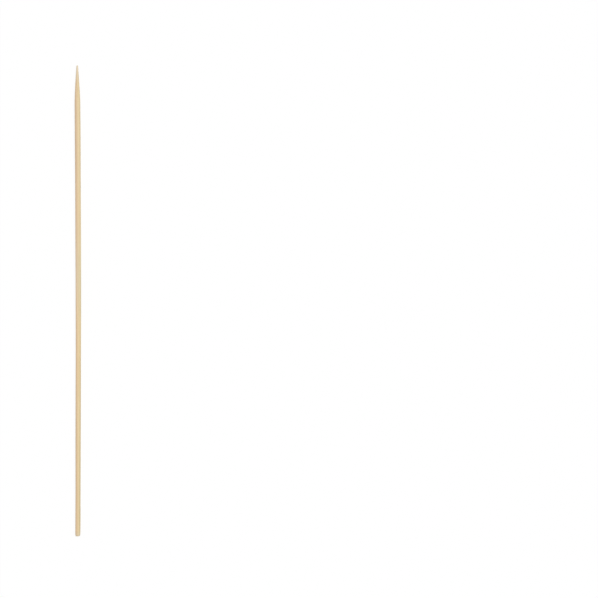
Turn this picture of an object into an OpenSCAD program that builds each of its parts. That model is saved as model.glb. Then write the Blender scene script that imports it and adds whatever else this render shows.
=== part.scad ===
// Round bamboo skewer for shrimps and other small pieces of food.
// The real thing is one stick, drawn round, sharpened at one end and sawn off at the other,
// so it is one solid: a straight shank, a long full point with a small blunt nose, and a flat
// blunt end whose edge is rubbed round.
// The stick lies along Y on the plane Z = 0, with its point towards +Y and its middle over the
// origin. All sizes are in millimetres.

/* [Shank] */
// Overall length, from the flat of the blunt end to the nose of the point
skewer_length = 150; // [90:1:300]
// Diameter of the round shank
shank_d = 1.75; // [1.4:0.05:5]

/* [Point] */
// Length of the sharpened point, from its shoulder on the shank to the nose
point_length = 11.6; // [5:0.2:25]
// Fullness of the point: 1 is a straight cone, and more rounds it towards the shoulder
point_fullness = 1.25; // [1:0.05:2.5]
// Radius of the small blunt nose that the point ends in
nose_r = 0.25; // [0.05:0.01:0.4]

/* [Blunt end] */
// Radius rubbed onto the edge of the sawn end
end_round = 0.3; // [0.1:0.05:0.5]

/* [Hidden] */

// How finely the point's side, its nose, the rubbed edge and the round of the stick are drawn
point_steps = 24;
nose_steps = 6;
edge_steps = 6;
stick_fn = 96;
bamboo_colour = [0.88, 0.80, 0.66];

shank_r = shank_d / 2;
shoulder_y = skewer_length - point_length;
// Angle between the axis and the point's side where the side runs into the nose
nose_angle = atan(point_fullness * (shank_r - nose_r) / point_length);
// Where the side touches the nose, as a radius and a distance from the blunt end
nose_side_r = nose_r * cos(nose_angle);
nose_side_y = skewer_length - nose_r * (1 - sin(nose_angle));

// An arc from angle a to angle b, about a centre at radius r and distance y
function arc(r, y, arc_r, a, b, steps) =
    [for (i = [0:steps]) let (angle = a + (b - a) * i / steps)
        [r + arc_r * cos(angle), y + arc_r * sin(angle)]];

// Radius of the point's side, at a share t of the way from the nose (0) to the shoulder (1)
function side_r(t) = nose_side_r + (shank_r - nose_side_r) * (1 - pow(1 - t, point_fullness));

// The rubbed edge of the blunt end, from the sawn flat to the shank
function blunt_edge() = arc(shank_r - end_round, end_round, end_round, -90, 0, edge_steps);

// The point's side, from the shoulder to one step short of the nose
function point_side() =
    [for (i = [0:point_steps - 1]) let (t = 1 - i / point_steps)
        [side_r(t), nose_side_y + (shoulder_y - nose_side_y) * t]];

// The nose, from the point's side to one step short of its top on the axis
function nose() =
    let (last_angle = 90 - (90 - nose_angle) / nose_steps)
    arc(0, skewer_length - nose_r, nose_r, nose_angle, last_angle, nose_steps - 1);

// Half of the stick's section, as [radius, distance from the blunt end]
function stick_outline() =
    concat([[0, 0]], blunt_edge(), point_side(), nose(), [[0, skewer_length]]);

// Lays a stick that stands on its blunt end down along Y, resting on Z = 0
module lay_down() {
    translate([0, -skewer_length / 2, shank_r])
        rotate([-90, 0, 0])
            children();
}

module skewer() {
    color(bamboo_colour)
        lay_down()
            rotate_extrude($fn = stick_fn)
                polygon(stick_outline());
}

skewer();
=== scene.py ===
import math

import bmesh
import bpy
import numpy as np
from bpy.props import FloatProperty, FloatVectorProperty, IntProperty, PointerProperty
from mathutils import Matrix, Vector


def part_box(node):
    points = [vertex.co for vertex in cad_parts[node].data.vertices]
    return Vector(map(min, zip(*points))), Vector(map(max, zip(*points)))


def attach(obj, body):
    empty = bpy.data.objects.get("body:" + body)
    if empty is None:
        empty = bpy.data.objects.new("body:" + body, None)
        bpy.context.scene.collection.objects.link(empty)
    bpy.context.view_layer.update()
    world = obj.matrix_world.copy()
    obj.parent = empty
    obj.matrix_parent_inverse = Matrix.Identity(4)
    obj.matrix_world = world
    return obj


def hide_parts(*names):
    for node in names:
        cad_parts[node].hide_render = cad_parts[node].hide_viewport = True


# A round bamboo skewer that lies on a pale floor, seen from straight above.
# The stick lies along Y with its point towards +Y. Its middle is over the origin and the floor
# is Z = 0. Lengths are in metres, and what the grain and its nodes use is in millimetres.

bl_info = {
    "name": "Bamboo Skewer",
    "version": (1, 0, 0),
    "blender": (4, 5, 0),
    "location": "3D View > Sidebar > Skewer",
    "description": "Models a round bamboo skewer and the stage that it lies on",
    "category": "Add Mesh",
}

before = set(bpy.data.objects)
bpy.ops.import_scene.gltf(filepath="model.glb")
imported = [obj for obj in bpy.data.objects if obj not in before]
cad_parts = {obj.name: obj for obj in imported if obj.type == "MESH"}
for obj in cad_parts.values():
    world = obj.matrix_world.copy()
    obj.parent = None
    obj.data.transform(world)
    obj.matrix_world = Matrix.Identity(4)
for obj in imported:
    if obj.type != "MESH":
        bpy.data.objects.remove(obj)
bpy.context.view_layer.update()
NODE = "skewer"
BODY = "root"

MM = 0.001
NODE_LOW, NODE_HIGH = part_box(NODE)
LENGTH = NODE_HIGH.y - NODE_LOW.y
RADIUS = (NODE_HIGH.x - NODE_LOW.x) / 2
BLUNT_Y = NODE_LOW.y
NOSE_Y = NODE_HIGH.y
BLUNT_MM = BLUNT_Y / MM
NOSE_MM = NOSE_Y / MM

# Vertices this near to each other are one
SAME_PLACE = 1e-7
# How many rings of faces each stretch of the stick has, apart from its shank
FLAT_RINGS = 14
EDGE_RINGS = 7
POINT_RINGS = 64
NOSE_RINGS = 9

# The photograph's frame, and where the ends of the skewer's mean line lie in it
PHOTO_PX = 598
TIP_PX = (77.63, 65.0)
BLUNT_PX = (78.38, 535.95)


def length_property(name, description, default):
    """A length, shown to the micrometre."""
    return FloatProperty(
        name=name, description=description, default=default, unit="LENGTH", precision=6
    )


def share_property(name, description, default):
    """A number from 0 to about 1."""
    return FloatProperty(name=name, description=description, default=default, subtype="FACTOR")


def angle_property(name, description, degrees):
    """An angle that is given in degrees."""
    return FloatProperty(
        name=name, description=description, default=math.radians(degrees), subtype="ANGLE"
    )


def colour_property(name, description, default):
    """A linear colour without alpha."""
    return FloatVectorProperty(
        name=name, description=description, subtype="COLOR", size=3, min=0, max=1, default=default
    )


def tint_property(name, description, default):
    """What another colour is multiplied by, so its parts are near 1."""
    return FloatVectorProperty(
        name=name, description=description, subtype="COLOR", size=3, min=0, max=2, default=default
    )


class SkewerShape(bpy.types.PropertyGroup):
    """Sizes of the stick that a user would change."""

    point_length: length_property(
        "Point length", "Length of the sharpened point, from its shoulder to the nose", 11.6 * MM
    )
    point_fullness: FloatProperty(
        name="Point fullness",
        description="1 is a straight cone, and more rounds the point towards its shoulder",
        default=1.25,
    )
    nose_radius: length_property(
        "Nose radius", "Radius of the small blunt nose that the point ends in", 0.25 * MM
    )
    end_round: length_property("End round", "Radius rubbed onto the edge of the sawn end", 0.3 * MM)
    saw_slope: angle_property(
        "Saw slope", "How far the sawn end leans from square, with its -X side the longer", 3
    )
    thick_share: share_property(
        "Thick half", "Diameter of the half with the point, as a share of the solid's", 1.009
    )
    thin_share: share_property(
        "Thin half", "Diameter of the half with the sawn end, as a share of the solid's", 0.942
    )
    bow: length_property(
        "Bow", "How far the stick's middle stands out to +X from the line between its ends",
        0.24 * MM,
    )
    fibre_relief: length_property(
        "Fibre relief", "How far the hard fibre bundles stand proud of the softer ground",
        0.010 * MM,
    )
    sides: IntProperty(
        name="Sides", description="Faces round the stick", default=176, min=32
    )
    shank_rings: IntProperty(
        name="Shank rings", description="Rings of faces along the shank", default=420, min=40
    )
    seed: IntProperty(
        name="Seed", description="Picks where the fibre bundles lie", default=11
    )


class SkewerFinish(bpy.types.PropertyGroup):
    """Colours and gloss of bare bamboo."""

    ground: colour_property(
        "Ground", "The pale soft tissue between the fibres", (0.770, 0.592, 0.358)
    )
    sheath: colour_property("Sheath", "The harder, browner fibre bundles", (0.632, 0.441, 0.231))
    vessel: colour_property("Vessel", "The fine dark tubes inside a bundle", (0.28, 0.16, 0.07))
    pith_tint: tint_property(
        "Pith side tint", "What the -X side, the inside of the culm's wall, is multiplied by",
        (1.012, 0.945, 1.0),
    )
    rind_tint: tint_property(
        "Rind side tint", "What the +X side, the outside of the culm's wall, is multiplied by",
        (0.963, 1.009, 0.952),
    )
    pale_tint: tint_property(
        "Pale stretch tint", "What the less brown stretch near the middle is multiplied by",
        (0.93, 0.98, 1.04),
    )
    butt_tint: tint_property(
        "Blunt half tint", "What the half with the sawn end is multiplied by",
        (1.0, 1.0, 0.955),
    )
    worn_end: colour_property(
        "Worn end", "The greyer tone of the rubbed blunt end", (0.68, 0.60, 0.44)
    )
    worn_nose: colour_property(
        "Worn nose", "The pale tone of the point's last few millimetres", (0.80, 0.72, 0.58)
    )
    roughness: share_property("Roughness", "Roughness of the drawn shank", 0.5)


class SkewerStage(bpy.types.PropertyGroup):
    """The floor, the light and the camera."""

    floor_colour: colour_property("Floor", "Colour of the plain floor", (0.85, 0.85, 0.85))
    floor_width: length_property("Floor width", "Side of the square floor", 8.0)
    shadow: share_property(
        "Shadow", "Share of the stick's shadow that the camera sees on the white floor", 0.12
    )
    sky_level: FloatProperty(
        name="Sky level", description="Strength of the even light from all sides", default=0.53
    )
    key_level: FloatProperty(
        name="Key level",
        description="How bright the soft lamp alone makes a white floor, where 1 is white",
        default=0.47,
    )
    key_tilt: angle_property(
        "Key tilt", "Angle of the soft lamp from straight above, towards +X", 21
    )
    key_turn: angle_property(
        "Key turn", "Turn of the soft lamp about the vertical, from +X towards +Y", 20
    )
    key_softness: angle_property(
        "Key softness", "Angle across the soft lamp as seen from the floor", 40
    )
    lens: FloatProperty(
        name="Lens", description="Focal length in millimetres", default=120.0
    )


# Shape of the stick


def outline_points(shape):
    """Half of the stick's section as (radius, distance from the blunt end), from the middle of
    the sawn end to the top of the nose."""
    flat_r = RADIUS - shape.end_round
    points = [(flat_r * i / FLAT_RINGS, 0.0) for i in range(FLAT_RINGS)]
    for i in range(EDGE_RINGS + 1):
        angle = math.radians(90) * i / EDGE_RINGS
        out = shape.end_round * math.sin(angle)
        up = shape.end_round * (1 - math.cos(angle))
        points.append((flat_r + out, up))
    # The side of the point meets the round nose where both lean by the same angle
    lean = math.atan(shape.point_fullness * (RADIUS - shape.nose_radius) / shape.point_length)
    side_r = shape.nose_radius * math.cos(lean)
    side_y = LENGTH - shape.nose_radius * (1 - math.sin(lean))
    shoulder_y = LENGTH - shape.point_length
    for i in range(POINT_RINGS):
        t = 1 - i / POINT_RINGS
        r = side_r + (RADIUS - side_r) * (1 - (1 - t) ** shape.point_fullness)
        points.append((r, side_y + (shoulder_y - side_y) * t))
    for i in range(NOSE_RINGS):
        angle = lean + (math.radians(90) - lean) * i / NOSE_RINGS
        up = shape.nose_radius * (1 - math.sin(angle))
        points.append((shape.nose_radius * math.cos(angle), LENGTH - up))
    points.append((0.0, LENGTH))
    return points


def spin_stick(shape):
    """The plain round stick about the Y axis, closed at both ends."""
    bm = bmesh.new()
    verts = [bm.verts.new((r, BLUNT_Y + y, 0.0)) for r, y in outline_points(shape)]
    for a, b in zip(verts, verts[1:]):
        bm.edges.new((a, b))
    bmesh.ops.spin(
        bm,
        geom=bm.verts[:] + bm.edges[:],
        cent=(0, 0, 0),
        axis=(0, 1, 0),
        dvec=(0, 0, 0),
        angle=math.radians(360),
        steps=shape.sides,
        use_merge=True,
    )
    bmesh.ops.remove_doubles(bm, verts=bm.verts[:], dist=SAME_PLACE)
    # Only the edges along the shank are longer than half the stick
    shank_edges = [e for e in bm.edges if e.calc_length() > LENGTH / 2]
    bmesh.ops.subdivide_edges(bm, edges=shank_edges, cuts=shape.shank_rings - 1)
    bmesh.ops.recalc_face_normals(bm, faces=bm.faces[:])
    mesh = bpy.data.meshes.new("bamboo_stick")
    bm.to_mesh(mesh)
    bm.free()
    return mesh


def smooth_step(value, low, high):
    """0 at low, 1 at high and an even S between them, whichever of the two is larger."""
    t = np.clip((value - low) / (high - low), 0, 1)
    return t * t * (3 - 2 * t)


def swell(value, middle, half_width):
    """1 at the middle, falling off evenly on both sides."""
    return np.exp(-(((value - middle) / half_width) ** 2))


def swells(y, rows):
    """Swells and dips along the stick, from rows of (height, middle, half width)."""
    return sum(height * swell(y, middle, half_width) for height, middle, half_width in rows)


def waves(y, rows):
    """Waves along the stick, from rows of (height, length that a radian takes, phase)."""
    return sum(height * np.sin(y / radian + phase) for height, radian, phase in rows)


def lobes(angle, y, rows):
    """Waves round the stick, from rows of (height, how many go round it, how many radians they
    turn in a metre along it, phase)."""
    return sum(
        height * np.sin(count * angle + turn * y + phase) for height, count, turn, phase in rows
    )


def near_blunt_end(y, reach, full=0.0):
    """1 from the sawn end to full, falling to 0 at reach, with both measured from that end."""
    return smooth_step(y, BLUNT_Y + reach, BLUNT_Y + full)


# The thin half of the stick goes over into the thick one between these two places
THIN_TO = -20 * MM
THICK_FROM = 18 * MM
# The diameter swells behind the shoulder of the point and has a faint waist before the blunt
# end. The heights are shares of the solid's diameter
DIAMETER_SWELLS = ((0.025, 53 * MM, 9 * MM), (-0.048, -60 * MM, 10.5 * MM))
DIAMETER_WAVES = ((0.004, 9.3 * MM, 0.7), (0.003, 4.1 * MM, 2.0))


def thickness_along(y, shape):
    """The local diameter as a share of the solid's."""
    thick = smooth_step(y, THIN_TO, THICK_FROM)
    halves = shape.thin_share + (shape.thick_share - shape.thin_share) * thick
    return halves + waves(y, DIAMETER_WAVES) + swells(y, DIAMETER_SWELLS)


# The section is slightly wider than it is high, and faintly three-sided, as shares of its radius
SECTION_LOBES = ((-0.012, 2, 6, math.pi / 2), (0.005, 3, -14, 0))
# The ground point has faint flats besides, which come in between these distances from the nose
POINT_FLATS = ((0.008, 7, 1 / (1.9 * MM), 0), (0.006, 4, -1 / (3.1 * MM), 0))
FLATS_START = 13 * MM
FLATS_FULL = 9 * MM


def out_of_round(angle, y):
    """What the section adds to its radius on each side, as a share."""
    on_point = smooth_step(y, NOSE_Y - FLATS_START, NOSE_Y - FLATS_FULL)
    return lobes(angle, y, SECTION_LOBES) + lobes(angle, y, POINT_FLATS) * on_point


# A skew below 1 moves the bow's deepest place towards the point, and a sharpness above 1 makes
# it more pointed
BOW_SKEW = 0.9
BOW_SHARPNESS = 1.6
# The axis wanders besides, and steps to -X before the blunt end, both by shares of the bow
AXIS_SWELLS = ((0.12, 52 * MM, 10 * MM), (-0.07, -35 * MM, 13 * MM))
AXIS_STEP = -0.06
AXIS_STEP_FROM = -58 * MM
AXIS_STEP_TO = -68 * MM


def bow_along(y, shape):
    """How far the axis stands out to +X. The bow lies half on each side of the solid's axis."""
    from_nose = np.clip((NOSE_Y - y) / LENGTH, 0, 1)
    arch = np.sin(math.pi * from_nose**BOW_SKEW) ** BOW_SHARPNESS
    wander = swells(y, AXIS_SWELLS) + AXIS_STEP * smooth_step(y, AXIS_STEP_FROM, AXIS_STEP_TO)
    return shape.bow * (arch - 0.5 + wander)


# The blunt end. A reach is how far from the sawn face a change goes along the stick
RUBBED_SHARE = 0.085
RUBBED_REACH = 1.3 * MM
WORN_DEPTH = 0.06 * MM
WORN_REACH = 6 * MM
FLARE_DEPTH = 0.035 * MM
FLARE_REACH = 3 * MM
FLARE_FULL = 1 * MM
# The saw's slope fades out over this reach, and its ridges run across this direction in X and Z
SLOPE_REACH = 1.6 * MM
RIDGE_DIRECTION = (0.82, 0.57)
RIDGE_HEIGHT = 0.004 * MM
RIDGE_RADIAN = 0.035 * MM
# How far the stubs of the hard bundles stand out of the cut
STUB_HEIGHT = 0.014 * MM
# The rim of the cut is uneven, over this share of the rubbed edge
RIM_LOBES = ((0.004 * MM, 4, 0, 2.7708), (-0.004 * MM, 14, 0, 4.9708))
RIM_SHARE = 0.6


def wear_towards_minus_x(x, y):
    """How far the blunt end is moved to -X: it is worn down on its +X side, and flares a little
    on the other."""
    worn = WORN_DEPTH * smooth_step(x, 0, RADIUS) * near_blunt_end(y, WORN_REACH)
    flare = near_blunt_end(y, FLARE_REACH, FLARE_FULL)
    return worn + FLARE_DEPTH * smooth_step(x, 0, -RADIUS) * flare


def saw_cut(x, y, z, depth, sawn, shape):
    """How far the cut lies up the stick from a flat and square one. The saw went through at a
    slope, and left ridges and short stubs of the hard bundles."""
    slope = math.tan(shape.saw_slope) * (x + RADIUS) * near_blunt_end(y, SLOPE_REACH)
    across = x * RIDGE_DIRECTION[0] + z * RIDGE_DIRECTION[1]
    ridges = RIDGE_HEIGHT * np.sin(across / RIDGE_RADIAN)
    return slope - sawn * (STUB_HEIGHT * depth + ridges)


# Grain

# How far across the wall the bundles are laid out to each side, in millimetres
WALL_REACH = 2.2
# How far the fibres move across the wall in a metre of the stick, and how they wander, in
# millimetres
DRIFT_U = 5.2
DRIFT_W = 2.4
WANDER_U = ((0.06, 17 * MM, 0), (0.03, 6.1 * MM, 1.0))
WANDER_W = ((0.05, 13 * MM, 0.5), (0.02, 5.3 * MM, 2.2))


def place_in_wall(x, y, z):
    """Where points lie across the culm's wall, as (u, w) in millimetres, with the culm's outside
    towards +u. The stick was split from the wall almost along its fibres, so that its surface
    cuts slowly through them."""
    u = x / MM - DRIFT_U * y + waves(y, WANDER_U)
    w = z / MM - DRIFT_W * y + waves(y, WANDER_W)
    return u, w


# The bundles stand in rows, and all their lengths are in millimetres. Towards the culm's inside
# they are further apart and thicker by up to the growths. Each is shifted at random
BUNDLE_PITCH = 0.46
PITCH_GROWTH = 0.22
ROW_SPACING = 0.84
BUNDLES_EACH_WAY = 6
SHIFT_U = 0.13
SHIFT_W = 0.15
BUNDLE_RADII = (0.075, 0.135)
RADIUS_GROWTH = 0.04
BUNDLE_STRENGTHS = (0.5, 1.0)
# Where a bundle begins and where it is at its full depth, as shares of its radius
BUNDLE_EDGE = 1.15
BUNDLE_HEART = 0.3


def bundle_centres(rng):
    """The fibre bundles of the wall, as rows of (u, w, radius, strength)."""
    bundles = []
    u = -WALL_REACH
    while u < WALL_REACH:
        inward = (WALL_REACH - u) / (2 * WALL_REACH)
        pitch = BUNDLE_PITCH + PITCH_GROWTH * inward
        # Every other row is moved on by half a pitch
        offset = pitch / 2 if len(bundles) % 2 else 0
        for k in range(-BUNDLES_EACH_WAY, BUNDLES_EACH_WAY + 1):
            bundle_u = u + rng.uniform(-SHIFT_U, SHIFT_U)
            bundle_w = k * pitch + offset + rng.uniform(-SHIFT_W, SHIFT_W)
            radius = rng.uniform(*BUNDLE_RADII) + RADIUS_GROWTH * inward
            bundles.append((bundle_u, bundle_w, radius, rng.uniform(*BUNDLE_STRENGTHS)))
        u += pitch * ROW_SPACING
    return np.array(bundles)


def depth_in_bundle(u, w, centres):
    """How deep each place across the wall lies in a fibre bundle, from 0 at the bundle's edge
    and outside it to its strength at its middle."""
    depth = np.zeros(len(u))
    for bundle_u, bundle_w, radius, strength in centres:
        distance = np.hypot(u - bundle_u, w - bundle_w)
        inside = smooth_step(distance, BUNDLE_EDGE * radius, BUNDLE_HEART * radius)
        depth = np.maximum(depth, strength * inside)
    return depth


# Broad streaks of tone along the stick, as (place across it from -1 to 1, place along it in
# millimetres, half width, half length, how much lighter they make it). Some are the wood's own
# tone, and some are painted light and shade for how the light falls across the stick: a lighter
# -X side near the middle, lit as a flatter stretch would be, and darker sides beside the bright
# top of the blunt half
TONE_AND_PAINTED_LIGHT_STREAKS = (
    (-0.18, 45, 0.35, 32, -0.028),
    (-0.60, 8, 0.45, 13, 0.19),
    (0.65, 9, 0.35, 11, 0.08),
    (0.10, 20, 0.30, 9, -0.045),
    (0.00, -19, 0.40, 16, 0.04),
    (-0.32, 68, 0.30, 5, 0.08),
    (-0.28, -3, 0.20, 6, 0.06),
    (-0.65, -25, 0.25, 9, 0.07),
    (-0.28, -69, 0.35, 14, -0.075),
    (0.65, -66, 0.30, 34, -0.19),
)
# The less brown stretch: its middle along the stick and its half length
PALE_MM = 8.5
PALE_REACH_MM = 12.0
# How much darker the sawn face and its rubbed edge are made, and how far that reaches
END_DARKENING = 0.05
END_DARKENING_REACH_MM = 0.5
# Between these places across the stick the pith's tint goes over into the rind's, and between
# these heights from its axis the underside's even hue goes over into those tints. All four are
# shares of the stick's radius
TINT_SIDES = (-0.9, 0.9)
TINT_HEIGHTS = (-0.3, 0.7)


def zones_of_colour(x, y, z):
    """The slow changes of colour over the stick, as (how near it is to the culm's rind, how pale
    it is, its tone). The tone holds the wood's own streaks, painted light and shade across the
    stick, and a darker blunt end. The rind's and the pith's tints are strongest on the upper
    side."""
    side = x / RADIUS
    along = y / MM
    upper = smooth_step(z / RADIUS, *TINT_HEIGHTS)
    rind = 0.5 + (smooth_step(side, *TINT_SIDES) - 0.5) * upper
    pale = swell(along, PALE_MM, PALE_REACH_MM)
    tone = np.ones(len(x))
    # Each streak lightens or darkens the tone, some of them as painted light and shade
    for across, middle, half_width, half_length, lighter in TONE_AND_PAINTED_LIGHT_STREAKS:
        near = ((side - across) / half_width) ** 2 + ((along - middle) / half_length) ** 2
        tone += lighter * np.exp(-near)
    # The sawn face and its rubbed edge are made darker
    tone -= END_DARKENING * swell(along, BLUNT_MM, END_DARKENING_REACH_MM)
    return np.stack([rind, pale, tone], 1)


def write_attribute(mesh, name, kind, values):
    """Stores one value for each vertex, for the material to read."""
    layer = mesh.attributes.new(name, kind, "POINT")
    field = "vector" if kind == "FLOAT_VECTOR" else "value"
    layer.data.foreach_set(field, values.astype(np.float32).ravel())


def carve_stick(mesh, shape):
    """Gives the plain round stick the real one's bow, uneven thickness, saw cut and raised
    fibres, rests it on Z = 0 and writes its grain as attributes. Returns the plain stick's
    angle, Y and radius at each vertex, for the UV map."""
    places = np.empty(len(mesh.vertices) * 3)
    mesh.vertices.foreach_get("co", places)
    x, y, z = places.reshape(-1, 3).T.copy()
    radius = np.hypot(x, z)
    angle = np.arctan2(x, z)
    u, w = place_in_wall(x, y, z)
    depth = depth_in_bundle(u, w, bundle_centres(np.random.default_rng(shape.seed)))
    sawn = near_blunt_end(y, shape.end_round / 2)
    thickness = thickness_along(y, shape)

    # Handling has rubbed the blunt end thinner. The relief fades out towards the axis, and so
    # does the uneven rim of the saw cut
    rubbed = RUBBED_SHARE * near_blunt_end(y, RUBBED_REACH)
    on_rim = y < BLUNT_Y + shape.end_round * RIM_SHARE
    relief = shape.fibre_relief * depth + np.where(on_rim, lobes(angle, y, RIM_LOBES), 0)
    grown = radius * (thickness + out_of_round(angle, y) - rubbed) + radius / RADIUS * relief

    new_x = grown * np.sin(angle) + bow_along(y, shape) - wear_towards_minus_x(x, y)
    new_y = y + saw_cut(x, y, z, depth, sawn, shape)
    new_z = grown * np.cos(angle) + RADIUS * thickness
    new_z -= new_z.min()
    mesh.vertices.foreach_set("co", np.stack([new_x, new_y, new_z], 1).ravel())
    write_attribute(mesh, "grain", "FLOAT_VECTOR", np.stack([u, y / MM, w], 1))
    write_attribute(mesh, "zones", "FLOAT_VECTOR", zones_of_colour(x, y, z))
    write_attribute(mesh, "bundle", "FLOAT", depth)
    write_attribute(mesh, "sawn", "FLOAT", sawn)
    return angle, y, radius


# UV map

# The side of the stick lies in this many rows. The scale is 33 pixels of a map of 1024 for each
# millimetre, and the margin and the gap between rows are in map widths
MAP_ROWS = 5
MAP_SCALE = 33 / 1024 / MM
MAP_EDGE = 0.007
MAP_GAP = 0.0075
# Lengths in metres below which a place is on the axis, or on the flat of the sawn end
ON_AXIS = 1e-9
ON_FLAT = 1e-8


def lay_out_map(mesh, angle, y, radius, shape):
    """Writes the UV map from the plain stick's angle, Y and radius at each vertex: its side in
    rows one above the other, cut along the underside, and the sawn end as a disc above them,
    all at one scale."""
    loops = len(mesh.loops)
    corner = np.empty(loops, np.int32)
    mesh.loops.foreach_get("vertex_index", corner)
    total = np.empty(len(mesh.polygons), np.int32)
    mesh.polygons.foreach_get("loop_total", total)
    first = np.cumsum(total) - total
    face = np.repeat(np.arange(len(total)), total)

    # A pole has no angle of its own, so it takes its face's, and a corner past the cut is
    # brought round to its own face's side of it
    turn = (angle / (2 * math.pi) + 0.5)[corner]
    pole = radius[corner] < ON_AXIS
    some = turn[first]
    some = np.where(pole[first], turn[first + 1], some)[face]
    turn = np.where(pole, some, turn)
    turn = turn - np.round(turn - some)
    centre = (np.add.reduceat(turn, first) / total)[face]
    turn = turn - np.floor(centre)

    girth = 2 * math.pi * RADIUS * MAP_SCALE
    row_length = LENGTH / MAP_ROWS
    along = y[corner] - BLUNT_Y
    middle = (np.add.reduceat(along, first) / total)[face]
    row = np.clip(np.floor(middle / row_length), 0, MAP_ROWS - 1)
    uv_x = MAP_EDGE + (along - row * row_length) * MAP_SCALE
    uv_y = MAP_EDGE + row * (girth + MAP_GAP) + turn * girth

    flat_r = RADIUS - shape.end_round
    on_flat = np.maximum.reduceat(radius[corner], first) < flat_r + ON_FLAT
    on_flat = (on_flat & (np.maximum.reduceat(along, first) < ON_FLAT))[face]
    disc_x = MAP_EDGE + flat_r * MAP_SCALE
    disc_y = disc_x + MAP_ROWS * (girth + MAP_GAP)
    reach = radius[corner] * MAP_SCALE
    uv_x = np.where(on_flat, disc_x + reach * np.sin(angle[corner]), uv_x)
    uv_y = np.where(on_flat, disc_y + reach * np.cos(angle[corner]), uv_y)
    layer = mesh.uv_layers.new(name="OFBake", do_init=False)
    layer.uv.foreach_set("vector", np.stack([uv_x, uv_y], 1).astype(np.float32).ravel())


# Shader nodes

FLOAT = "NodeSocketFloat"
VECTOR = "NodeSocketVector"
COLOUR = "NodeSocketColor"
# How far apart the nodes stand in the editor
NODE_SPACING = 180


class NodeSheet:
    """Adds and links the nodes of one tree, left to right."""

    def __init__(self, tree):
        self.tree = tree
        self.column = 0

    def add(self, kind, **settings):
        """A new node with these properties set."""
        node = self.tree.nodes.new(kind)
        node.location = (self.column * NODE_SPACING, 0)
        self.column += 1
        for name, value in settings.items():
            setattr(node, name, value)
        return node

    def feed(self, socket, value):
        """Links an output to a socket, or sets the socket to a plain value."""
        if isinstance(value, bpy.types.NodeSocket):
            self.tree.links.new(value, socket)
        else:
            socket.default_value = value

    def maths(self, operation, a, b, clamp=False):
        """One Math node's result."""
        node = self.add("ShaderNodeMath", operation=operation, use_clamp=clamp)
        self.feed(node.inputs[0], a)
        self.feed(node.inputs[1], b)
        return node.outputs[0]

    def product(self, first, *others):
        """All of these numbers multiplied."""
        for other in others:
            first = self.maths("MULTIPLY", first, other)
        return first

    def ramp(self, value, low, high, to_low=0.0, to_high=1.0):
        """value from low to high, spread evenly over to_low to to_high and held at both ends."""
        node = self.add("ShaderNodeMapRange", clamp=True)
        for socket, given in zip(node.inputs, (value, low, high, to_low, to_high)):
            self.feed(socket, given)
        return node.outputs["Result"]

    def mix(self, factor, a, b, blend_type="MIX"):
        """Two colours mixed by a factor."""
        node = self.add("ShaderNodeMix", data_type="RGBA", blend_type=blend_type)
        sockets = {socket.identifier: socket for socket in node.inputs}
        self.feed(sockets["Factor_Float"], factor)
        self.feed(sockets["A_Color"], a)
        self.feed(sockets["B_Color"], b)
        return [socket for socket in node.outputs if socket.identifier == "Result_Color"][0]

    def shaded(self, colour, level):
        """A colour made darker or lighter by a number near 1."""
        node = self.add("ShaderNodeVectorMath", operation="SCALE")
        self.feed(node.inputs["Vector"], colour)
        self.feed(node.inputs["Scale"], level)
        return node.outputs["Vector"]

    def parts(self, vector):
        """A vector's three numbers."""
        node = self.add("ShaderNodeSeparateXYZ")
        self.feed(node.inputs[0], vector)
        return node.outputs[:]

    def stretched(self, vector, scale, turn=0.0):
        """A vector turned about Y and then scaled by a different number on each axis."""
        node = self.add("ShaderNodeMapping")
        if turn:
            turned = self.add("ShaderNodeMapping")
            self.feed(turned.inputs["Vector"], vector)
            turned.inputs["Rotation"].default_value = (0, turn, 0)
            vector = turned.outputs["Vector"]
        self.feed(node.inputs["Vector"], vector)
        node.inputs["Scale"].default_value = scale
        return node.outputs["Vector"]

    def noise(self, vector, scale, detail=2.0, roughness=0.5, turn=0.0):
        """Noise from 0 to 1 with its own scale on each axis."""
        node = self.add("ShaderNodeTexNoise")
        self.feed(node.inputs["Vector"], self.stretched(vector, scale, turn))
        node.inputs["Scale"].default_value = 1.0
        node.inputs["Detail"].default_value = detail
        node.inputs["Roughness"].default_value = roughness
        return node.outputs[0]

    def cells(self, vector, scale):
        """Distance to the middle of the nearest random cell, with its own scale on each axis."""
        node = self.add("ShaderNodeTexVoronoi", feature="F1")
        self.feed(node.inputs["Vector"], self.stretched(vector, scale))
        node.inputs["Scale"].default_value = 1.0
        return node.outputs["Distance"]


def new_group(name, inputs, outputs):
    """A shader node group with these named sockets, as (tree, sheet, input node, output node)."""
    tree = bpy.data.node_groups.new(name, "ShaderNodeTree")
    for label, kind in inputs:
        tree.interface.new_socket(name=label, in_out="INPUT", socket_type=kind)
    for label, kind in outputs:
        tree.interface.new_socket(name=label, in_out="OUTPUT", socket_type=kind)
    sheet = NodeSheet(tree)
    return tree, sheet, sheet.add("NodeGroupInput"), sheet.add("NodeGroupOutput")


# The range that nearly all of a noise's values lie in, and the range of most of them
NEARLY_ALL = (0.25, 0.75)
MOST = (0.3, 0.7)

# Scales of the fibres' noises and cells, per millimetre of (u, Y, w)
SILK_SCALE = (15, 0.10, 15)
HAIR_SCALE = (27, 0.16, 27)
STRAND_SCALE = (4.2, 0.035, 4.2)
TONE_SCALE = (0.45, 0.045, 0.45)
SPECKLE_SCALE = (24, 9, 24)
VESSEL_SCALE = (8, 0.06, 8)
# Depths in a bundle between which its brown cap comes in, its paler heart and its vessels
CAP_DEPTHS = (0.06, 0.42)
HEART_DEPTHS = (0.62, 0.95)
VESSEL_DEPTHS = (0.25, 0.55)
# How brown the heart is, and a cap where its strands are thinnest, as shares of a full cap
HEART_BROWN = 0.72
THIN_CAP_BROWN = 0.5
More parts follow.
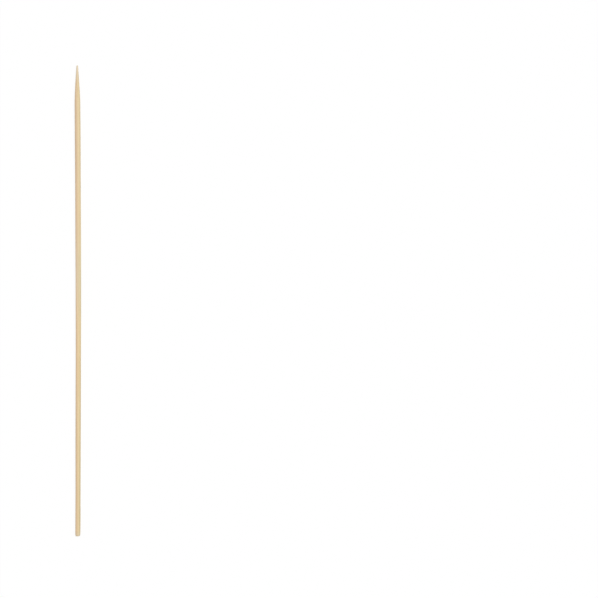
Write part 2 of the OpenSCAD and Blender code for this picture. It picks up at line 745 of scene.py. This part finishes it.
# Values of the strands' noise between which a cap becomes fully brown, and hairs come in
CAP_STRANDS = (0.3, 0.65)
HAIR_STRANDS = (0.35, 0.6)
# A hair is where its noise is low, and a vessel is near the middle of its cell
HAIR_VALUES = (0.40, 0.30)
VESSEL_REACH = (0.20, 0.10)
# How much of the sheath's colour a hair has, and of the vessel's an open vessel, and how deep a
# hair lies beside the silk's relief
HAIR_SHARE = 0.5
VESSEL_SHARE = 0.55
HAIR_DEPTH = 0.4
# How dark and how light each layer makes the wood
SILK_LEVELS = (0.90, 1.08)
STRAND_LEVELS = (0.955, 1.035)
TONE_LEVELS = (0.97, 1.03)
SPECKLE_LEVELS = (0.98, 1.016)


def fibre_group():
    """Bamboo cut along, across or askew to its fibres: bundles, hair-fine strands, open vessels
    and slow changes of tone."""
    inputs = [("Grain", VECTOR), ("Bundle", FLOAT)]
    inputs += [(name, COLOUR) for name in ("Ground", "Sheath", "Vessel")]
    outputs = [("Color", COLOUR), ("Height", FLOAT), ("Gloss", FLOAT)]
    tree, sheet, given, result = new_group("Bamboo Fibres", inputs, outputs)
    grain = given.outputs["Grain"]
    bundle = given.outputs["Bundle"]
    sheath = given.outputs["Sheath"]

    silk = sheet.noise(grain, SILK_SCALE, detail=4, roughness=0.62)
    hair = sheet.noise(grain, HAIR_SCALE, detail=2)
    strand = sheet.noise(grain, STRAND_SCALE)
    tone = sheet.noise(grain, TONE_SCALE)
    speckle = sheet.noise(grain, SPECKLE_SCALE, detail=1)

    # A bundle is brownest in the fibre caps round its middle
    cap = sheet.product(
        sheet.ramp(bundle, *CAP_DEPTHS),
        sheet.ramp(bundle, *HEART_DEPTHS, 1.0, HEART_BROWN),
        sheet.ramp(strand, *CAP_STRANDS, THIN_CAP_BROWN, 1.0),
    )
    colour = sheet.mix(cap, given.outputs["Ground"], sheath)
    fine = sheet.ramp(hair, *HAIR_VALUES)
    hairs = sheet.product(fine, sheet.ramp(strand, *HAIR_STRANDS), HAIR_SHARE)
    colour = sheet.mix(hairs, colour, sheath)
    vessel = sheet.ramp(sheet.cells(grain, VESSEL_SCALE), *VESSEL_REACH)
    pores = sheet.product(vessel, sheet.ramp(bundle, *VESSEL_DEPTHS))
    colour = sheet.mix(sheet.product(pores, VESSEL_SHARE), colour, given.outputs["Vessel"])

    level = sheet.product(
        sheet.ramp(silk, *NEARLY_ALL, *SILK_LEVELS),
        sheet.ramp(strand, *NEARLY_ALL, *STRAND_LEVELS),
        sheet.ramp(tone, *MOST, *TONE_LEVELS),
        sheet.ramp(speckle, *MOST, *SPECKLE_LEVELS),
    )
    sheet.feed(result.inputs["Color"], sheet.shaded(colour, level))
    height = sheet.maths("SUBTRACT", silk, sheet.product(hairs, HAIR_DEPTH))
    sheet.feed(result.inputs["Height"], sheet.maths("SUBTRACT", height, pores))
    sheet.feed(result.inputs["Gloss"], sheet.maths("SUBTRACT", cap, pores))
    return tree


# Scales of the tools' marks, per millimetre of (u, Y, w), and how the saw's scratches are turned
RING_SCALE = (1.1, 26, 1.1)
SCRATCH_SCALE = (34, 0, 1.6)
CELL_SCALE = (19, 0, 19)
SCRATCH_TURN = math.radians(55)
# What each kind of mark adds to the wood's tone, from one end of its range to the other
RING_TONES = (-0.028, 0.028)
SCRATCH_TONES = (-0.10, 0.08)
CELL_TONES = (-0.09, 0.05)
END_GRAIN_TONES = (0.0, -0.16)
# Distances in a cut cell, and depths in a bundle, over which those tones change
CELL_REACH = (0.1, 0.7)
END_GRAIN_DEPTHS = (0.05, 0.5)
# Share of the relief that the rings have, and the height of a cut cell's wall
RING_HEIGHT = 0.5
CELL_WALL = 0.6


def tool_mark_group():
    """What the tools left: fine rings where the point was ground, and saw scratches and open
    cells where the stick was sawn across."""
    inputs = [("Grain", VECTOR), ("Bundle", FLOAT), ("Ground Off", FLOAT), ("Sawn", FLOAT)]
    outputs = [("Level", FLOAT), ("Height", FLOAT)]
    tree, sheet, given, result = new_group("Tool Marks", inputs, outputs)
    grain = given.outputs["Grain"]
    off = given.outputs["Ground Off"]
    sawn = given.outputs["Sawn"]

    rings = sheet.noise(grain, RING_SCALE, detail=3)
    scratches = sheet.noise(grain, SCRATCH_SCALE, detail=3, turn=SCRATCH_TURN)
    open_cells = sheet.cells(grain, CELL_SCALE)
    ring_level = sheet.ramp(rings, *MOST, *RING_TONES)
    scratch_level = sheet.ramp(scratches, *MOST, *SCRATCH_TONES)
    cell_level = sheet.ramp(open_cells, *CELL_REACH, *CELL_TONES)
    end_grain = sheet.ramp(given.outputs["Bundle"], *END_GRAIN_DEPTHS, *END_GRAIN_TONES)
    cut_level = sheet.maths("ADD", scratch_level, sheet.maths("ADD", cell_level, end_grain))
    level = sheet.maths("ADD", sheet.product(ring_level, off), sheet.product(cut_level, sawn))
    sheet.feed(result.inputs["Level"], sheet.maths("ADD", level, 1.0))
    cell_height = sheet.ramp(open_cells, 0.0, CELL_WALL, 0.0, CELL_WALL)
    cut_height = sheet.product(sheet.maths("ADD", scratches, cell_height), sawn)
    height = sheet.maths("ADD", sheet.product(rings, off, RING_HEIGHT), cut_height)
    sheet.feed(result.inputs["Height"], height)
    return tree


def place_group(sheet, tree, **given):
    """A node group placed in a material, with these inputs fed by name."""
    node = sheet.add("ShaderNodeGroup")
    node.node_tree = tree
    for name, value in given.items():
        sheet.feed(node.inputs[name.replace("_", " ")], value)
    return node


# A slow noise makes the wood a little greener in some places and a little pinker in others
BLUSH_SCALE = (0.35, 0.03, 0.35)
GREEN_VALUES = (0.52, 0.35)
PINK_VALUES = (0.52, 0.68)
GREEN_TINT = (0.985, 1.0, 1.01, 1)
PINK_TINT = (1.0, 0.988, 0.985, 1)


def with_slow_hues(sheet, colour, grain, rind, pale, finish):
    """The wood's colour with its slow changes of hue along and across the stick."""
    blush = sheet.noise(grain, BLUSH_SCALE, detail=1)
    green = sheet.ramp(blush, *GREEN_VALUES)
    pink = sheet.ramp(blush, *PINK_VALUES)
    colour = sheet.mix(green, colour, GREEN_TINT, "MULTIPLY")
    colour = sheet.mix(pink, colour, PINK_TINT, "MULTIPLY")
    tint = sheet.mix(rind, (*finish.pith_tint, 1), (*finish.rind_tint, 1))
    colour = sheet.mix(1.0, colour, tint, "MULTIPLY")
    return sheet.mix(pale, colour, (*finish.pale_tint, 1), "MULTIPLY")


# How far from each end its worn tone starts and is full, and how much of that tone shows
WORN_END_FROM_MM = 2.0
WORN_END_FULL_MM = 0.3
WORN_END_SHARE = 0.4
WORN_NOSE_FROM_MM = 6.0
WORN_NOSE_FULL_MM = 0.5
WORN_NOSE_SHARE = 0.5


def with_end_tones(sheet, colour, along, finish):
    """The wood's colour with the blunt half's tint, a greyer blunt end and a paler nose."""
    # The tint of the blunt half comes in over the stick's middle third
    butt = sheet.ramp(along, NOSE_MM / 3, BLUNT_MM / 3)
    colour = sheet.mix(butt, colour, (*finish.butt_tint, 1), "MULTIPLY")
    start = BLUNT_MM + WORN_END_FROM_MM
    at_end = sheet.ramp(along, start, BLUNT_MM + WORN_END_FULL_MM, 0.0, WORN_END_SHARE)
    colour = sheet.mix(at_end, colour, (*finish.worn_end, 1))
    start = NOSE_MM - WORN_NOSE_FROM_MM
    at_nose = sheet.ramp(along, start, NOSE_MM - WORN_NOSE_FULL_MM, 0.0, WORN_NOSE_SHARE)
    return sheet.mix(at_nose, colour, (*finish.worn_nose, 1))


# How far from the shoulder of the point its grinding starts and is full
GRINDING_FROM_MM = -0.5
GRINDING_FULL_MM = 2.5
# The range of the fibres' gloss, what each end of it adds to the roughness, and how much
# rougher the tools left the wood
GLOSS_VALUES = (-0.5, 0.8)
GLOSS_ROUGHNESS = (0.12, -0.08)
TOOL_ROUGHNESS = 0.12
# The finest relief, which the shading alone shows
BUMP_STRENGTH = 0.7
BUMP_HEIGHT = 0.014 * MM


def bamboo_material(finish, shape):
    """Bare bamboo: a drawn shank, a ground point and a sawn end, with slow changes of hue."""
    material = bpy.data.materials.new("bamboo")
    material.use_nodes = True
    material.node_tree.nodes.clear()
    sheet = NodeSheet(material.node_tree)
    grain = sheet.add("ShaderNodeAttribute", attribute_name="grain").outputs["Vector"]
    bundle = sheet.add("ShaderNodeAttribute", attribute_name="bundle").outputs["Fac"]
    sawn = sheet.add("ShaderNodeAttribute", attribute_name="sawn").outputs["Fac"]
    zones = sheet.add("ShaderNodeAttribute", attribute_name="zones").outputs["Vector"]
    rind, pale, tone = sheet.parts(zones)
    along = sheet.parts(grain)[1]

    shoulder = NOSE_MM - shape.point_length / MM
    on_point = sheet.ramp(along, shoulder + GRINDING_FROM_MM, shoulder + GRINDING_FULL_MM)
    fibres = place_group(
        sheet,
        fibre_group(),
        Grain=grain,
        Bundle=bundle,
        Ground=(*finish.ground, 1),
        Sheath=(*finish.sheath, 1),
        Vessel=(*finish.vessel, 1),
    )
    marks = place_group(
        sheet, tool_mark_group(), Grain=grain, Bundle=bundle, Ground_Off=on_point, Sawn=sawn
    )
    # The tone multiplies the colour, and with it the streaks' painted light and shade
    level = sheet.product(marks.outputs["Level"], tone)
    colour = sheet.shaded(fibres.outputs["Color"], level)
    colour = with_slow_hues(sheet, colour, grain, rind, pale, finish)
    colour = with_end_tones(sheet, colour, along, finish)

    shader = sheet.add("ShaderNodeBsdfPrincipled")
    sheet.feed(shader.inputs["Base Color"], colour)
    roughest, smoothest = (finish.roughness + change for change in GLOSS_ROUGHNESS)
    rough = sheet.ramp(fibres.outputs["Gloss"], *GLOSS_VALUES, roughest, smoothest)
    dull = sheet.ramp(sheet.maths("ADD", on_point, sawn), 0.0, 1.0, 0.0, TOOL_ROUGHNESS)
    sheet.feed(shader.inputs["Roughness"], sheet.maths("ADD", rough, dull))
    bump = sheet.add("ShaderNodeBump")
    bump.inputs["Strength"].default_value = BUMP_STRENGTH
    bump.inputs["Distance"].default_value = BUMP_HEIGHT
    height = sheet.maths("ADD", fibres.outputs["Height"], marks.outputs["Height"])
    sheet.feed(bump.inputs["Height"], height)
    sheet.feed(shader.inputs["Normal"], bump.outputs["Normal"])
    output = sheet.add("ShaderNodeOutputMaterial")
    sheet.feed(output.inputs["Surface"], shader.outputs["BSDF"])
    return material


# Operators


class SKEWER_OT_stick(bpy.types.Operator):
    """Model the bamboo stick in place of the plain solid"""

    bl_idname = "skewer.stick"
    bl_label = "Bamboo stick"

    def execute(self, context):
        shape = context.scene.skewer_shape
        mesh = spin_stick(shape)
        angle, y, radius = carve_stick(mesh, shape)
        lay_out_map(mesh, angle, y, radius, shape)
        mesh.shade_smooth()
        mesh.materials.append(bamboo_material(context.scene.skewer_finish, shape))
        stick = bpy.data.objects.new("bamboo_stick", mesh)
        context.scene.collection.objects.link(stick)
        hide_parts(NODE)
        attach(stick, BODY)
        return {"FINISHED"}


def white_for_camera(sheet):
    """1 for what the camera sees at once, mirrored or through glass, and 0 for other light."""
    path = sheet.add("ShaderNodeLightPath")
    seen = sheet.maths("ADD", path.outputs["Is Camera Ray"], path.outputs["Is Glossy Ray"])
    return sheet.maths("ADD", seen, path.outputs["Is Transmission Ray"], clamp=True)


class SKEWER_OT_stage(bpy.types.Operator):
    """Lay the floor, light it and set up the camera above the stick"""

    bl_idname = "skewer.stage"
    bl_label = "Stage"

    def execute(self, context):
        stage = context.scene.skewer_stage
        self.lay_floor(context.scene, stage)
        self.light(context.scene, stage)
        self.set_camera(context.scene, stage)
        context.scene.view_settings.view_transform = "Standard"
        return {"FINISHED"}

    def lay_floor(self, scene, stage):
        """A wide plain floor that looks white to the camera, but for part of the shadow."""
        bm = bmesh.new()
        bmesh.ops.create_grid(bm, x_segments=1, y_segments=1, size=stage.floor_width / 2)
        mesh = bpy.data.meshes.new("floor")
        bm.to_mesh(mesh)
        bm.free()
        material = bpy.data.materials.new("floor")
        material.use_nodes = True
        material.node_tree.nodes.clear()
        sheet = NodeSheet(material.node_tree)
        diffuse = sheet.add("ShaderNodeBsdfDiffuse")
        diffuse.inputs["Color"].default_value = (*stage.floor_colour, 1)
        glow = sheet.add("ShaderNodeEmission")
        # The glow and the camera's share of the lit floor add up to white
        lit = (stage.sky_level + stage.key_level) * sum(stage.floor_colour) / 3
        glow.inputs["Strength"].default_value = (1 - stage.shadow * lit) / (1 - stage.shadow)
        both = sheet.add("ShaderNodeMixShader")
        share = sheet.product(white_for_camera(sheet), 1 - stage.shadow)
        sheet.feed(both.inputs["Fac"], share)
        sheet.feed(both.inputs[1], diffuse.outputs[0])
        sheet.feed(both.inputs[2], glow.outputs[0])
        output = sheet.add("ShaderNodeOutputMaterial")
        sheet.feed(output.inputs["Surface"], both.outputs[0])
        mesh.materials.append(material)
        floor = bpy.data.objects.new("floor", mesh)
        scene.collection.objects.link(floor)

    def light(self, scene, stage):
        """An even sky, white to the camera, and one very soft lamp."""
        world = bpy.data.worlds.new("sky")
        world.use_nodes = True
        world.node_tree.nodes.clear()
        sheet = NodeSheet(world.node_tree)
        sky = sheet.add("ShaderNodeBackground")
        sky.inputs["Color"].default_value = (1, 1, 1, 1)
        strength = sheet.ramp(white_for_camera(sheet), 0.0, 1.0, stage.sky_level, 1.0)
        sheet.feed(sky.inputs["Strength"], strength)
        output = sheet.add("ShaderNodeOutputWorld")
        sheet.feed(output.inputs["Surface"], sky.outputs[0])
        scene.world = world

        lamp = bpy.data.lights.new("key", "SUN")
        lamp.angle = stage.key_softness
        # A white floor shows a sun's energy times the cosine of its tilt, divided by pi
        lamp.energy = stage.key_level * math.pi / math.cos(stage.key_tilt)
        key = bpy.data.objects.new("key", lamp)
        key.rotation_euler = (0, stage.key_tilt, stage.key_turn)
        scene.collection.objects.link(key)

    def set_camera(self, scene, stage):
        """Straight above, with the stick's two ends where the photograph has them."""
        across = BLUNT_PX[0] - TIP_PX[0]
        down = BLUNT_PX[1] - TIP_PX[1]
        metres_per_px = LENGTH / math.hypot(across, down)
        middle_x = (BLUNT_PX[0] + TIP_PX[0]) / 2
        middle_y = (BLUNT_PX[1] + TIP_PX[1]) / 2
        camera = bpy.data.cameras.new("camera")
        camera.lens = stage.lens
        width = PHOTO_PX * metres_per_px
        # The frame has that width at the height of the stick's axis
        height = RADIUS + width * stage.lens / camera.sensor_width
        eye = bpy.data.objects.new("camera", camera)
        eye.location = (
            (PHOTO_PX / 2 - middle_x) * metres_per_px,
            (middle_y - PHOTO_PX / 2) * metres_per_px,
            height,
        )
        eye.rotation_euler = (0, 0, -math.atan2(across, down))
        scene.collection.objects.link(eye)
        scene.camera = eye


class SKEWER_PT_panel(bpy.types.Panel):
    """Sizes, colours and the operators that build from them"""

    bl_idname = "SKEWER_PT_panel"
    bl_label = "Bamboo skewer"
    bl_space_type = "VIEW_3D"
    bl_region_type = "UI"
    bl_category = "Skewer"

    def draw(self, context):
        for group in (
            context.scene.skewer_shape,
            context.scene.skewer_finish,
            context.scene.skewer_stage,
        ):
            column = self.layout.column(align=True)
            for name in group.bl_rna.properties.keys():
                if name not in ("rna_type", "name"):
                    column.prop(group, name)
        self.layout.operator(SKEWER_OT_stick.bl_idname)
        self.layout.operator(SKEWER_OT_stage.bl_idname)


CLASSES = (
    SkewerShape,
    SkewerFinish,
    SkewerStage,
    SKEWER_OT_stick,
    SKEWER_OT_stage,
    SKEWER_PT_panel,
)


def register():
    for kind in CLASSES:
        bpy.utils.register_class(kind)
    bpy.types.Scene.skewer_shape = PointerProperty(type=SkewerShape)
    bpy.types.Scene.skewer_finish = PointerProperty(type=SkewerFinish)
    bpy.types.Scene.skewer_stage = PointerProperty(type=SkewerStage)


def unregister():
    del bpy.types.Scene.skewer_stage
    del bpy.types.Scene.skewer_finish
    del bpy.types.Scene.skewer_shape
    for kind in reversed(CLASSES):
        bpy.utils.unregister_class(kind)


def main():
    register()
    bpy.ops.skewer.stick()
    bpy.ops.skewer.stage()


if __name__ == "__main__":
    main()
